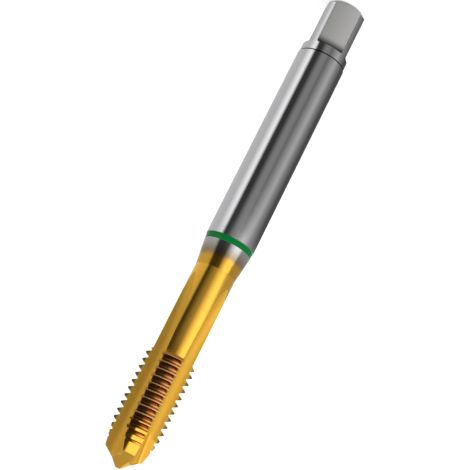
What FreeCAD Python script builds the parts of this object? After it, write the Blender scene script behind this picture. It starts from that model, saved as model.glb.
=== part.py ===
import FreeCAD, Part

import math
import os

from FreeCAD import Matrix, Vector

# A spiral-point machine tap for an M10 x 1.5 thread, ground from one bar of tool steel.
# Sizes are in millimetres and degrees, and heights are measured from the tip along the tool.

# Overall length, which is 100 from the thread's front to the square end and the rest nose and
# centre point, and the thread that it cuts
overall_length = 103.0
thread_diameter = 10.1
thread_pitch = 1.5
thread_depth = 0.92
thread_crest_flat = 0.19
flank_half_angle = 30.0
# Height above the tip of the first groove, where its helix crosses the zero angle
first_groove_height = 0.9
# Share of the space from one land to the next over which the grooves are cut
groove_share = 0.6

# Front end: male centre, blunter nose cone, then the lead chamfer that does the cutting
centre_point_end_diameter = 1.0
centre_point_diameter = 3.9
centre_point_half_angle = 45.0
nose_diameter = 7.95
nose_half_angle = 54.5
lead_half_angle = 10.3
threaded_length = 22.3
thread_run_out_half_angle = 45.0

# Neck, relieved under the thread's root, and the cone that widens to the shank
neck_diameter = 8.25
neck_end_height = 41.4
cone_half_angle = 7.8
shank_diameter = 10.0

# Shallow seat turned in the top of the cone for the ring of paint
ring_seat_height = 46.65
ring_seat_width = 1.25
ring_seat_diameter = 9.68

# Groove that ends the shank, then the collar, the driving square cut in it, and the crown
collar_groove_height = 90.15
collar_groove_width = 0.3
collar_groove_diameter = 9.3
collar_diameter = 9.68
square_across_flats = 7.85
square_height = 92.25
square_corner_radius = 0.35
square_turn = 3.2
crown_height = 101.75
crown_diameter = 7.0
centre_hole_diameter = 2.0
centre_hole_depth = 4.0
centre_drill_half_angle = 59.0
centre_countersink_diameter = 4.25
centre_countersink_half_angle = 30.0

# Straight flutes, each ground in one pass between two lands
flute_count = 3
land_edge_angle = 25.4
rake_angle = 2.0
heel_edge_angle = 25.6
heel_wall_angle = 19.0
flute_corner_radius = 2.4
flute_straight_height = 20.8
flute_wheel_radius = 80.0
# Angle round the tool, from the zero angle, at which the first land has its middle
first_land_angle = 270.0

# Spiral point: a short slanted gash ground into each cutting face
gash_height = 8.2
gash_slant_angle = 14.0
gash_rise_angle = 5.0
gash_corner_distance = 2.2
gash_opening_angle = 95.0
gash_corner_radius = 0.8

# How far a cutter reaches past the surface that it cuts
cutter_overrun = 2.0


def cot(degrees):
    """Give the length along the axis for each unit of radius on a cone of this half angle."""
    return 1.0 / math.tan(math.radians(degrees))


def polar(radius, degrees, height=0.0):
    """Place a point at a radius and an angle round the tool's axis."""
    angle = math.radians(degrees)
    return Vector(radius * math.cos(angle), radius * math.sin(angle), height)


def turned(degrees):
    """Give the matrix of a turn about the tool's axis."""
    matrix = Matrix()
    matrix.rotateZ(math.radians(degrees))
    return matrix


def run_out_height():
    """Find where the thread's crest has run down to the neck."""
    return threaded_length + (thread_diameter - neck_diameter) / 2 * cot(thread_run_out_half_angle)


def blank_outline():
    """List the turned blank's radius and height from the tip to the end face."""
    end_radius = centre_point_end_diameter / 2
    point_radius = centre_point_diameter / 2
    nose_radius = nose_diameter / 2
    crest_radius = thread_diameter / 2
    neck_radius = neck_diameter / 2
    shank_radius = shank_diameter / 2
    groove_radius = collar_groove_diameter / 2
    collar_radius = collar_diameter / 2
    point_top = (point_radius - end_radius) * cot(centre_point_half_angle)
    nose_top = point_top + (nose_radius - point_radius) * cot(nose_half_angle)
    lead_top = nose_top + (crest_radius - nose_radius) * cot(lead_half_angle)
    cone_top = neck_end_height + (shank_radius - neck_radius) * cot(cone_half_angle)
    collar_start = collar_groove_height + collar_groove_width
    return [
        (0, 0),
        (end_radius, 0),
        (point_radius, point_top),
        (nose_radius, nose_top),
        (crest_radius, lead_top),
        (crest_radius, threaded_length),
        (neck_radius, run_out_height()),
        (neck_radius, neck_end_height),
        (shank_radius, cone_top),
        (shank_radius, collar_groove_height),
        (groove_radius, collar_groove_height),
        (groove_radius, collar_start),
        (collar_radius, collar_start),
        (collar_radius, crown_height),
        (crown_diameter / 2, overall_length),
        (0, overall_length),
    ]


def revolve_outline(outline):
    """Turn a list of radius and height about the tool's axis."""
    points = [Vector(radius, 0, height) for radius, height in outline]
    edges = []
    for start, end in zip(points, points[1:] + points[:1]):
        edge = Part.makeLine(start, end)
        # A slope is drawn as a spline, so that the edge where a flat wall cuts its cone is one too
        if start.x != end.x and start.z != end.z:
            edge = edge.toNurbs().Edges[0]
        edges.append(edge)
    return Part.Face(Part.Wire(edges)).revolve(Vector(0, 0, 0), Vector(0, 0, 1), 360)


def ring_seat():
    """Make the cutter of the shallow seat for the paint ring."""
    ring_top = ring_seat_height + ring_seat_width
    outer_radius = shank_diameter / 2 + cutter_overrun
    return revolve_outline([
        (ring_seat_diameter / 2, ring_seat_height),
        (outer_radius, ring_seat_height),
        (outer_radius, ring_top),
        (ring_seat_diameter / 2, ring_top),
    ])


def centre_hole():
    """Make the drill that leaves the female centre in the end face."""
    drill_radius = centre_hole_diameter / 2
    mouth_radius = centre_countersink_diameter / 2
    countersink = (mouth_radius - drill_radius) * cot(centre_countersink_half_angle)
    drill_tip = overall_length - centre_hole_depth - drill_radius * cot(centre_drill_half_angle)
    return revolve_outline([
        (0, drill_tip),
        (drill_radius, overall_length - centre_hole_depth),
        (drill_radius, overall_length - countersink),
        (mouth_radius, overall_length),
        (mouth_radius, overall_length + cutter_overrun),
        (0, overall_length + cutter_overrun),
    ])


def groove_segment(span):
    """Sweep the thread's section along a right-hand helix that turns by a span either side of zero."""
    crest_radius = thread_diameter / 2
    root_radius = crest_radius - thread_depth
    half_mouth = (thread_pitch - thread_crest_flat) / 2
    half_root = half_mouth - thread_depth / cot(flank_half_angle)
    # Past the crest the flanks run on until half of the flat is left, and then stand straight out
    half_widest = half_mouth + thread_crest_flat / 4
    flank_end_radius = crest_radius + thread_crest_flat / 4 * cot(flank_half_angle)
    outer_radius = crest_radius + thread_depth / 2
    section = [
        (root_radius, -half_root),
        (flank_end_radius, -half_widest),
        (outer_radius, -half_widest),
        (outer_radius, half_widest),
        (flank_end_radius, half_widest),
        (root_radius, half_root),
    ]
    points = [Vector(radius, 0, height) for radius, height in section]
    rise = thread_pitch * 2 * span / 360.0
    sweep = Part.BRepOffsetAPI.MakePipeShell(Part.makeHelix(thread_pitch, rise, crest_radius))
    sweep.setFrenetMode(True)
    sweep.add(Part.makePolygon(points + points[:1]))
    sweep.build()
    sweep.makeSolid()
    segment = sweep.shape()
    segment.rotate(Vector(0, 0, 0), Vector(0, 0, 1), -span)
    segment.translate(Vector(0, 0, -rise / 2))
    return segment


def thread_grooves():
    """Repeat the groove on each land and each turn of the one helix that they all lie on."""
    land_spacing = 360.0 / flute_count
    segment = groove_segment(land_spacing * groove_share / 2)
    turns = math.ceil((run_out_height() - first_groove_height) / thread_pitch)
    grooves = []
    for land in range(flute_count):
        angle = (first_land_angle + land * land_spacing) % 360.0
        for turn in range(turns):
            groove = segment.transformed(turned(angle))
            height = first_groove_height + thread_pitch * (turn + angle / 360.0)
            groove.translate(Vector(0, 0, height))
            grooves.append(groove)
    return grooves


def rounded_valley(corner, first_arm, second_arm, corner_radius, reach):
    """Fill the space between two arms that leave a rounded corner, out to a reach past it."""
    middle = (first_arm + second_arm).normalize()
    half_opening = first_arm.getAngle(middle)
    tangent_length = corner_radius / math.tan(half_opening)
    centre = corner + middle * (corner_radius / math.sin(half_opening))
    first_tangent = corner + first_arm * tangent_length
    second_tangent = corner + second_arm * tangent_length
    first_end = corner + first_arm * reach
    second_end = corner + second_arm * reach
    bottom = Part.Arc(second_tangent, centre - middle * corner_radius, first_tangent).toShape()
    edges = [
        bottom,
        Part.makeLine(first_tangent, first_end),
        Part.makeLine(first_end, second_end),
        Part.makeLine(second_end, second_tangent),
    ]
    return Part.Face(Part.Wire(edges)), middle, (centre - middle * corner_radius).Length


def cutting_face_direction():
    """Give the direction out along the cutting face of a land whose middle is at the zero angle."""
    return polar(1.0, -land_edge_angle - rake_angle)


def flute_section():
    """Outline the flute that lies before the cutting face of the land at the zero angle."""
    edge = polar(thread_diameter / 2, -land_edge_angle)
    face = cutting_face_direction()
    land_spacing = 360.0 / flute_count
    heel = polar(1.0, heel_wall_angle - land_spacing)
    heel_edge = polar(thread_diameter / 2, heel_edge_angle - land_spacing)
    # The cutting face and the heel's wall run in straight lines to the corner where they would meet
    across = heel.cross(face).z
    inward = heel.cross(edge - heel_edge).z / across
    corner = edge - face * inward
    return rounded_valley(corner, face, heel, flute_corner_radius, thread_diameter)


def flute_cutter():
    """Run the flute's section up the tool and out of it round the grinding wheel."""
    section, middle, bottom_radius = flute_section()
    section.translate(Vector(0, 0, -cutter_overrun))
    straight = section.extrude(Vector(0, 0, flute_straight_height + cutter_overrun))
    section.translate(Vector(0, 0, flute_straight_height + cutter_overrun))
    wheel_centre = middle * (bottom_radius + flute_wheel_radius)
    wheel_centre.z = flute_straight_height
    wheel_axis = Vector(0, 0, 1).cross(middle)
    run_out = section.revolve(wheel_centre, wheel_axis, 90)
    return straight.fuse(run_out).removeSplitter()


def gash_cutter():
    """Slant a small valley across the cutting face, rising from the core towards the tip."""
    face = cutting_face_direction()
    across_land = Vector(0, 0, 1).cross(face)
    back_wall = Matrix()
    back_wall.rotateZ(-math.radians(gash_opening_angle))
    corner = face * gash_corner_distance
    back_arm = back_wall.multVec(face)
    section = rounded_valley(corner, face, back_arm, gash_corner_radius, thread_diameter)[0]
    section.translate(Vector(0, 0, gash_height))
    length = gash_height + cutter_overrun
    slant = across_land * (length * math.tan(math.radians(gash_slant_angle)))
    rise = face * (length * math.tan(math.radians(gash_rise_angle)))
    return section.extrude(slant + rise + Vector(0, 0, -length))


def flat_cutter():
    """Mill one flat of the square up to its shoulder, with a small radius left in the corner."""
    half_square = square_across_flats / 2
    arc_side = square_corner_radius * (1 - math.sqrt(0.5))
    outer = shank_diameter / 2 + cutter_overrun
    end = overall_length + cutter_overrun
    flat_start = Vector(half_square, 0, square_height + square_corner_radius)
    arc_middle = Vector(half_square + arc_side, 0, square_height + arc_side)
    arc_end = Vector(half_square + square_corner_radius, 0, square_height)
    outer_low = Vector(outer, 0, square_height)
    outer_high = Vector(outer, 0, end)
    flat_end = Vector(half_square, 0, end)
    edges = [
        Part.Arc(flat_start, arc_middle, arc_end).toShape(),
        Part.makeLine(arc_end, outer_low),
        Part.makeLine(outer_low, outer_high),
        Part.makeLine(outer_high, flat_end),
        Part.makeLine(flat_end, flat_start),
    ]
    face = Part.Face(Part.Wire(edges))
    face.translate(Vector(0, -shank_diameter, 0))
    return face.extrude(Vector(0, 2 * shank_diameter, 0))


def thread_tap():
    """Turn the blank, then grind the flutes, spiral point, thread and square in it."""
    tap = revolve_outline(blank_outline()).cut([ring_seat(), centre_hole()])
    land_spacing = 360.0 / flute_count
    flute = flute_cutter()
    gash = gash_cutter()
    for land in range(flute_count):
        turn = turned(first_land_angle + land * land_spacing)
        tap = tap.cut(flute.transformed(turn))
        tap = tap.cut(gash.transformed(turn))
    tap = tap.cut(thread_grooves())

    flat = flat_cutter()
    for side in range(4):
        tap = tap.cut(flat.transformed(turned(square_turn + 90.0 * side)))
    return tap


def stand_up(tap):
    """Stand the tap on its square end, with the tip up and its first land to the front."""
    standing = Matrix(
        -1, 0, 0, 0,
        0, 1, 0, 0,
        0, 0, -1, overall_length,
        0, 0, 0, 1)
    return tap.transformed(standing)


os.makedirs("parts", exist_ok=True)
stand_up(thread_tap()).exportStep("parts/thread_tap.step")
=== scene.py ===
import bpy
import math
from mathutils import Matrix, Vector


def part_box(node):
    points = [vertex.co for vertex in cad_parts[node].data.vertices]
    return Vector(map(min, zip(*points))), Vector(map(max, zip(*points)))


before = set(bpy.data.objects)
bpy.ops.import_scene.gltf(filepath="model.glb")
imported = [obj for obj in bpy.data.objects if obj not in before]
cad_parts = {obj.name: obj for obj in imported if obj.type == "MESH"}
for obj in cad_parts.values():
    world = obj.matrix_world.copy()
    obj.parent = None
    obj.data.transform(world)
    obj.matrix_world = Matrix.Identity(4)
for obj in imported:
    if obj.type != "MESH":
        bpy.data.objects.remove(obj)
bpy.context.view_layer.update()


# The tap: one bar of high-speed steel, turned, hardened and ground. It stands on its square end,
# so heights from the tip are measured down from the top. The front is coated with a hard
# gold-coloured nitride, and a ring of green paint lies in its seat at the top of the cone.
MM = 0.001
TIP_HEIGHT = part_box("thread_tap")[1][2]
EDGE_BLEND = 0.03 * MM


class Value:
    """An output of a node. Sums, products and quotients of it add the Math nodes that work them out."""

    def __init__(self, socket):
        self.socket = socket

    @staticmethod
    def node(tree, kind, settings, inputs, output=0):
        """Add a node of any kind, with its settings first, and give one of its outputs."""
        node = tree.nodes.new(kind)
        for name, setting in settings.items():
            if name == "stops":
                stops = node.color_ramp.elements
                while len(stops) < len(setting):
                    stops.new(0.5)
                for stop, (position, grey) in zip(stops, setting):
                    stop.position = position
                    stop.color = (grey, grey, grey, 1)
            else:
                setattr(node, name, setting)
        for name, given in inputs.items():
            if isinstance(given, Value):
                tree.links.new(given.socket, node.inputs[name])
            else:
                node.inputs[name].default_value = given
        return Value(node.outputs[output])

    def math(self, operation, *others):
        """Add one Math node that takes this value first."""
        inputs = dict(enumerate((self, *others)))
        return Value.node(self.socket.id_data, "ShaderNodeMath", {"operation": operation}, inputs)

    def vector(self, operation, *others, output=0):
        """Add one Vector Math node that takes this vector first."""
        inputs = dict(enumerate((self, *others)))
        settings = {"operation": operation}
        return Value.node(self.socket.id_data, "ShaderNodeVectorMath", settings, inputs, output)

    def axis(self, index):
        """Give one coordinate of this vector: 0 is x, 1 is y and 2 is z."""
        return Value.node(self.socket.id_data, "ShaderNodeSeparateXYZ", {}, {0: self}, index)

    def __add__(self, other):
        return self.math("ADD", other)

    def __sub__(self, other):
        return self.math("SUBTRACT", other)

    def __rsub__(self, other):
        return (self * -1.0).math("ADD", other)

    def __mul__(self, other):
        return self.math("MULTIPLY", other)

    def __truediv__(self, other):
        return self.math("DIVIDE", other)

    __radd__ = __add__
    __rmul__ = __mul__

    def rise(self, start, end):
        """Climb smoothly from 0 to 1 while this value goes from start to end."""
        settings = {"interpolation_type": "SMOOTHSTEP"}
        inputs = {"Value": self, "From Min": start, "From Max": end}
        return Value.node(self.socket.id_data, "ShaderNodeMapRange", settings, inputs)

    def past(self, edge):
        """Give 0 up to an edge and 1 beyond it, with a blend too narrow to see."""
        return self.rise(edge, edge + EDGE_BLEND)

    def mix(self, first, second):
        """Mix two colours, with all of the second where this value is 1."""
        inputs = {0: self, 6: first, 7: second}
        return Value.node(self.socket.id_data, "ShaderNodeMix", {"data_type": "RGBA"}, inputs, 2)


def noise(place, cells, detail):
    """Give a grey noise, from 0 to 1, with that many cells to a metre along each axis."""
    inputs = {"Vector": place.vector("MULTIPLY", cells), "Scale": 1.0, "Detail": detail}
    return Value.node(place.socket.id_data, "ShaderNodeTexNoise", {}, inputs)


steel = bpy.data.materials.new("ground tool steel")
steel.use_nodes = True
tree = steel.node_tree
shader = tree.nodes["Principled BSDF"]

place = Value.node(tree, "ShaderNodeTexCoord", {}, {}, "Object")
from_tip = TIP_HEIGHT - place.axis(2)
from_axis = place.vector("MULTIPLY", (1, 1, 0))
radius = from_axis.vector("LENGTH", output=1)
normal = Value.node(tree, "ShaderNodeTexCoord", {}, {}, "Normal")
upward = normal.axis(2).math("ABSOLUTE")
outward = normal.vector("DOT_PRODUCT", from_axis, output=1) / radius

# Fine grinding lines run round the tool, because their noise is squeezed along the axis
ROUND_LINE_CELLS = (60, 60, 9000)
PATCH_CELLS = (400, 400, 400)
round_lines = noise(place, ROUND_LINE_CELLS, detail=3.0)
patches = noise(place, PATCH_CELLS, detail=2.0)

# The coating ends in an uneven edge. The steel behind it is tinted, and clears towards the ring
COATING_END = 43.9 * MM
COATING_FADE = 1.3 * MM
TINT_WIDTH = 1.6 * MM
RING_START = 46.65 * MM
RING_END = 47.9 * MM
bare = (from_tip + patches * TINT_WIDTH).rise(COATING_END, COATING_END + COATING_FADE)
clear = from_tip.rise(COATING_END, COATING_END + COATING_FADE + TINT_WIDTH)
ring = from_tip.past(RING_START) - from_tip.past(RING_END - EDGE_BLEND)

# The front's turned outline is its point, nose and lead, up to the crests and roots of the thread.
# A spot well inside that outline lies in a valley of the thread, or in a flute.
POINT_END_RADIUS = 0.5 * MM
POINT_TOP = 1.45 * MM
NOSE_SLOPE = math.tan(math.radians(54.5))
NOSE_TOP = 2.894 * MM
LEAD_RADIUS = 3.975 * MM
LEAD_SLOPE = math.tan(math.radians(10.3))
LEAD_TOP = 8.8 * MM
CREST_RADIUS = 5.05 * MM
ROOT_RADIUS = 4.125 * MM
RUNOUT_START = 22.3 * MM
THREAD_END = 22.9 * MM
point = from_tip + POINT_END_RADIUS
nose = (from_tip - POINT_TOP) * NOSE_SLOPE + (POINT_TOP + POINT_END_RADIUS)
lead = (from_tip - NOSE_TOP) * LEAD_SLOPE + LEAD_RADIUS
turned = point.math("MINIMUM", nose).math("MINIMUM", lead)
crest_depth = turned.math("MINIMUM", CREST_RADIUS) - radius
root_depth = turned.math("MINIMUM", ROOT_RADIUS) - radius
threaded = 1.0 - from_tip.past(THREAD_END)
runout = from_tip.past(RUNOUT_START) * threaded

# The flutes and the slanted gashes at their front are ground. Where a flute's wall cuts through the
# teeth it is told by its normal, which is neither radial nor steep. A gash's normal leans a little.
WALL_OUTWARD = (0.6, 0.75)
WALL_UPWARD = (0.3, 0.45)
GASH_UPWARD = (0.03, 0.1)
GASH_END = 8.6 * MM
wall = (1.0 - outward.rise(*WALL_OUTWARD)) * (1.0 - upward.rise(*WALL_UPWARD))
cut = root_depth.past(EDGE_BLEND).math("MAXIMUM", wall)
flute = cut * (1.0 - bare)
gash = cut * upward.rise(*GASH_UPWARD) * (1.0 - from_tip.past(GASH_END))

# The thread's valleys are painted darker, a painted shade. The coating is worn on the crests, and
# the teeth's cut sides are painted darker towards their points, a painted shade.
VALLEY_START = 0.1 * MM
CREST_BLEND = (0.02 * MM, 0.06 * MM)
CUT_SHADE_START = ROOT_RADIUS + 0.1 * MM
CUT_SHADE_FULL = ROOT_RADIUS + 0.5 * MM
deep = crest_depth.rise(VALLEY_START, CREST_RADIUS - ROOT_RADIUS)
# Painted shade: the thread's valleys are darker.
valley_shade = deep * threaded * (1.0 - gash) * (1.0 - runout)
full_thread = threaded * from_tip.past(LEAD_TOP)
crest = (1.0 - crest_depth.rise(*CREST_BLEND)) * full_thread * (1.0 - cut)
# Painted shade: the teeth's cut sides turn darker towards their points.
cut_side_shade = wall * threaded * radius.rise(CUT_SHADE_START, CUT_SHADE_FULL)

# The square's flats are milled satin, with a painted highlight that pales them towards one side
# of the tool. Painted shade darkens the groove before the collar, and the flats at the shoulder
# where they begin.
GROOVE_START = 90.15 * MM
GROOVE_END = 90.45 * MM
GROOVE_SHADE = 0.9
SHOULDER = 92.25 * MM
SHOULDER_SHADE = 2.1 * MM
FLAT_RADIUS = 4.80 * MM
flat = (1.0 - radius.past(FLAT_RADIUS - EDGE_BLEND)) * from_tip.past(SHOULDER)
# Painted highlight: the flats turn paler towards one side of the tool.
painted_sheen = place.axis(0).rise(FLAT_RADIUS, -FLAT_RADIUS)
# Painted shade: the groove before the collar is darkened.
groove = from_tip.past(GROOVE_START - EDGE_BLEND) - from_tip.past(GROOVE_END)
# Painted shade: the flats darken towards the shoulder under the collar.
shade = flat * (1.0 - from_tip.rise(SHOULDER, SHOULDER + SHOULDER_SHADE))
painted_shade = (groove * GROOVE_SHADE + shade).math("MINIMUM", 1.0)

STEEL_COLOUR = (0.60, 0.60, 0.61, 1)
NITRIDE_COLOUR = (0.92, 0.50, 0.065, 1)
VALLEY_SHADE_COLOUR = (0.60, 0.33, 0.12, 1)
CREST_COLOUR = (0.90, 0.62, 0.32, 1)
FLUTE_COLOUR = (1.0, 0.61, 0.085, 1)
CUT_SIDE_SHADE_COLOUR = (0.30, 0.24, 0.12, 1)
TINT_COLOUR = (0.42, 0.32, 0.20, 1)
MILLED_COLOUR = (0.62, 0.62, 0.61, 1)
PAINTED_SHEEN_COLOUR = (0.95, 0.94, 0.92, 1)
PAINTED_SHADE_COLOUR = (0.03, 0.03, 0.03, 1)
PAINT_COLOUR = (0.001, 0.23, 0.04, 1)
# The valleys' painted shade and the worn crests are mixed into the coating here.
thread_colour = crest.mix(valley_shade.mix(NITRIDE_COLOUR, VALLEY_SHADE_COLOUR), CREST_COLOUR)
# The gashes are left out of the flutes' paler gold and keep the thread's darker colour, a painted shade.
ground_colour = (flute * (1.0 - gash)).mix(thread_colour, FLUTE_COLOUR)
# The cut sides' painted shade is mixed in here.
coated_colour = bare.mix(cut_side_shade.mix(ground_colour, CUT_SIDE_SHADE_COLOUR), TINT_COLOUR)
metal_colour = clear.mix(coated_colour, STEEL_COLOUR)
# The flats take their painted highlight here.
milled_and_sheen_colour = flat.mix(metal_colour, painted_sheen.mix(MILLED_COLOUR, PAINTED_SHEEN_COLOUR))
# The painted shade of the groove and the shoulder is mixed in here.
shade_darkened_colour = painted_shade.mix(milled_and_sheen_colour, PAINTED_SHADE_COLOUR)
tree.links.new(ring.mix(shade_darkened_colour, PAINT_COLOUR).socket, shader.inputs["Base Color"])
tree.links.new((1.0 - ring).socket, shader.inputs["Metallic"])

# The turned outside is polished, and every other surface adds its own roughness to that
PAINT_SHEEN = 0.1
POLISH = 0.06
PATCHES_ADD = 0.02
LINES_ADD = 0.05
PAINT_ADDS = 0.1
FLUTE_ADDS = 0.5
GASH_TAKES = 0.2
CREST_ADDS = 0.35
FLAT_ADDS = 0.55
polished = POLISH + patches * PATCHES_ADD + round_lines * LINES_ADD
ground = flute.math("MAXIMUM", runout) * (FLUTE_ADDS - gash * GASH_TAKES)
roughness = polished + ring * PAINT_ADDS + ground + crest * CREST_ADDS + flat * FLAT_ADDS
tree.links.new(roughness.socket, shader.inputs["Roughness"])
shader.inputs["Specular IOR Level"].default_value = PAINT_SHEEN

LINE_DEPTH = 0.01 * MM
LINE_STRENGTH = 0.05
line_inputs = {"Height": round_lines, "Strength": LINE_STRENGTH, "Distance": LINE_DEPTH}
bump = Value.node(tree, "ShaderNodeBump", {}, line_inputs)
tree.links.new(bump.socket, shader.inputs["Normal"])

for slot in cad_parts["thread_tap"].material_slots:
    slot.material = steel


# The floor: a plain pale sheet. Its own light lifts it to white for the camera and leaves the
# tool's soft shadow on it. The tool mirrors the studio round it instead of this sheet.
FLOOR_HALF_WIDTH = 3.0
FLOOR_COLOUR = (0.85, 0.85, 0.85, 1)
FLOOR_ROUGHNESS = 0.9
FLOOR_GLOW = (0.48, 0.48, 0.48, 1)
DARK = (0, 0, 0, 1)
corners = [(-1, -1, 0), (1, -1, 0), (1, 1, 0), (-1, 1, 0)]
floor_mesh = bpy.data.meshes.new("floor")
floor_mesh.from_pydata([Vector(corner) * FLOOR_HALF_WIDTH for corner in corners], [], [(0, 1, 2, 3)])
floor = bpy.data.objects.new("floor", floor_mesh)
bpy.context.scene.collection.objects.link(floor)
floor.visible_glossy = False

paper = bpy.data.materials.new("white paper")
paper.use_nodes = True
tree = paper.node_tree
shader = tree.nodes["Principled BSDF"]
shader.inputs["Base Color"].default_value = FLOOR_COLOUR
shader.inputs["Roughness"].default_value = FLOOR_ROUGHNESS
shader.inputs["Specular IOR Level"].default_value = 0.0
shader.inputs["Emission Strength"].default_value = 1.0
seen_by_camera = Value.node(tree, "ShaderNodeLightPath", {}, {}, "Is Camera Ray")
tree.links.new(seen_by_camera.mix(DARK, FLOOR_GLOW).socket, shader.inputs["Emission Color"])
floor_mesh.materials.append(paper)


# The studio: white and black cards stand round the tool, painted here as bands of the world, one
# over another. A card has a bearing in degrees, 0 towards the camera and growing to the right of
# the picture, and a brightness, which fades evenly into the next card's.
BRIGHTEST = 1.6
TABLE_CARDS = [(-75, 0.5), (-55, 0.03), (45, 0.03), (65, 0.5)]
SHANK_CARDS = [(-90, 0.7), (-65, 1.3), (-57, 1.3), (-45, 0.05), (-25, 0.05), (-5, 0.3), (10, 0.3),
               (25, 0.2), (65, 0.6), (90, 0.3), (120, 0.1)]
NECK_CARDS = [(-120, 0.8), (-60, 0.6), (-45, 0.05), (-35, 0.1), (-20, 0.25), (0, 0.4), (35, 1.4),
              (45, 1.6), (57, 1.3), (65, 0.7), (80, 0.5)]
THREAD_CARDS = [(-60, 0.55), (-45, 0.05), (-20, 0.05), (0, 0.1), (35, 1.4), (60, 1.3), (70, 0.4)]
LEAD_CARDS = [(-60, 0.45), (-50, 0.05), (-10, 0.05), (0, 1.4), (60, 1.4), (80, 0.95)]
FLOOR_LIGHT = (0.4, 0.4, 0.4, 1)
CEILING_LIGHT = (0.5, 0.5, 0.5, 1)
WHITE = (1, 1, 1, 1)

world = bpy.data.worlds.new("studio")
world.use_nodes = True
bpy.context.scene.world = world
tree = world.node_tree
direction = Value.node(tree, "ShaderNodeTexCoord", {}, {}, "Generated")
west = direction.axis(0) * -1.0
south = direction.axis(1) * -1.0
bearing = west.math("ARCTAN2", south) / (2.0 * math.pi) + 0.5


def cards(stops):
    """Turn a list of bearings and brightnesses into a band of cards all round the tool."""
    settings = {"stops": [(angle / 360.0 + 0.5, grey / BRIGHTEST) for angle, grey in stops]}
    return Value.node(tree, "ShaderNodeValToRGB", settings, {"Fac": bearing}) * BRIGHTEST


# From the camera, each part of the tool mirrors a band of its own, which is named for it. A band
# has the elevations in degrees at which it starts to show and hides all that is under it.
BANDS = [(-60, -54, cards(TABLE_CARDS)), (-43, -36, cards(SHANK_CARDS)), (-16.4, -15.7, cards(NECK_CARDS)),
         (-11.7, -11.2, cards(THREAD_CARDS)), (4, 9, cards(LEAD_CARDS)), (45, 55, CEILING_LIGHT)]
light = FLOOR_LIGHT
for start, full, above in BANDS:
    start_height, full_height = (math.sin(math.radians(elevation)) for elevation in (start, full))
    light = direction.axis(2).rise(start_height, full_height).mix(light, above)

seen_by_camera = Value.node(tree, "ShaderNodeLightPath", {}, {}, "Is Camera Ray")
background = tree.nodes["Background"]
tree.links.new(seen_by_camera.mix(light, WHITE).socket, background.inputs["Color"])
background.inputs["Strength"].default_value = 1.0

LAMP_SPREAD = math.radians(12)
LAMP_POWER = 0.5
TOWARDS_LAMP = Vector((0.35, -0.25, 1.0))
lamp_data = bpy.data.lights.new("soft lamp", "SUN")
lamp_data.angle = LAMP_SPREAD
lamp_data.energy = LAMP_POWER
lamp = bpy.data.objects.new("soft lamp", lamp_data)
lamp.visible_glossy = False
lamp.rotation_euler = TOWARDS_LAMP.to_track_quat("Z", "Y").to_euler()
bpy.context.scene.collection.objects.link(lamp)
bpy.context.scene.view_settings.view_transform = "Standard"


# The camera: it stands in front of the tool and a little above it, and is rolled so that the
# tool runs from the lower left, where its tip is, to the upper right.
VIEW_DISTANCE = 284.6 * MM
VIEW_LEAN = math.radians(16.45)
VIEW_ROLL = math.radians(26.575)
AIM_FROM_TIP = 49.94 * MM
AIM_ASIDE = 0.165 * MM
LENS_MM = 112.86
SENSOR_MM = 36.0
NEAREST = 1.0 * MM

along = Vector((0.0, 0.0, -1.0))
across = Vector((-1.0, 0.0, 0.0))
front = Vector((0.0, -1.0, 0.0))
aim = Vector((0.0, 0.0, TIP_HEIGHT)) + along * AIM_FROM_TIP + across * AIM_ASIDE
back = front * math.cos(VIEW_LEAN) - along * math.sin(VIEW_LEAN)
axis_up = along * math.cos(VIEW_LEAN) + front * math.sin(VIEW_LEAN)
picture_right = axis_up * math.sin(VIEW_ROLL) + across * math.cos(VIEW_ROLL)
picture_up = axis_up * math.cos(VIEW_ROLL) - across * math.sin(VIEW_ROLL)

camera_data = bpy.data.cameras.new("camera")
camera_data.lens = LENS_MM
camera_data.sensor_width = SENSOR_MM
camera_data.clip_start = NEAREST
camera = bpy.data.objects.new("camera", camera_data)
bpy.context.scene.collection.objects.link(camera)
turn = Matrix((picture_right, picture_up, back)).transposed()
camera.matrix_world = Matrix.Translation(aim + back * VIEW_DISTANCE) @ turn.to_4x4()
bpy.context.scene.camera = camera
